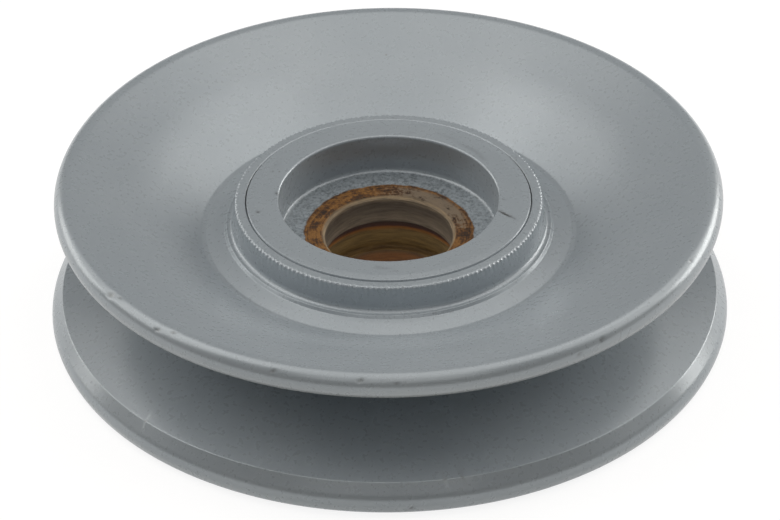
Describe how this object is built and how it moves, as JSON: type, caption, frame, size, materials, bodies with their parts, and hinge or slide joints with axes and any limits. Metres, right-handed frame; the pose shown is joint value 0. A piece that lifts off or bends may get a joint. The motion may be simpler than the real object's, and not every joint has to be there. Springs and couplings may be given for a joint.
{
  "type": "belt pulley",
  "caption": "Pressed-steel V-belt pulley: dished flanges back to back around a turned hub with a washer recess and a relieved plain shaft bore.",
  "frame": {"origin": "on the axis, in the middle plane of the belt groove, where the two flanges meet", "axes": "+Z along the axis, out of the recessed front of the hub; X and Y are any two radii, because the part is round"},
  "size_m": [0.106, 0.106, 0.025],
  "materials": {
    "paint": "satin silver-grey paint on pressed steel",
    "hub_paint": "satin silver-grey paint on turned steel, bare and rusty in the bore"
  },
  "bodies": {
    "root": {"front_flange": "paint", "rear_flange": "paint", "hub": "hub_paint"}
  },
  "joints": []
}
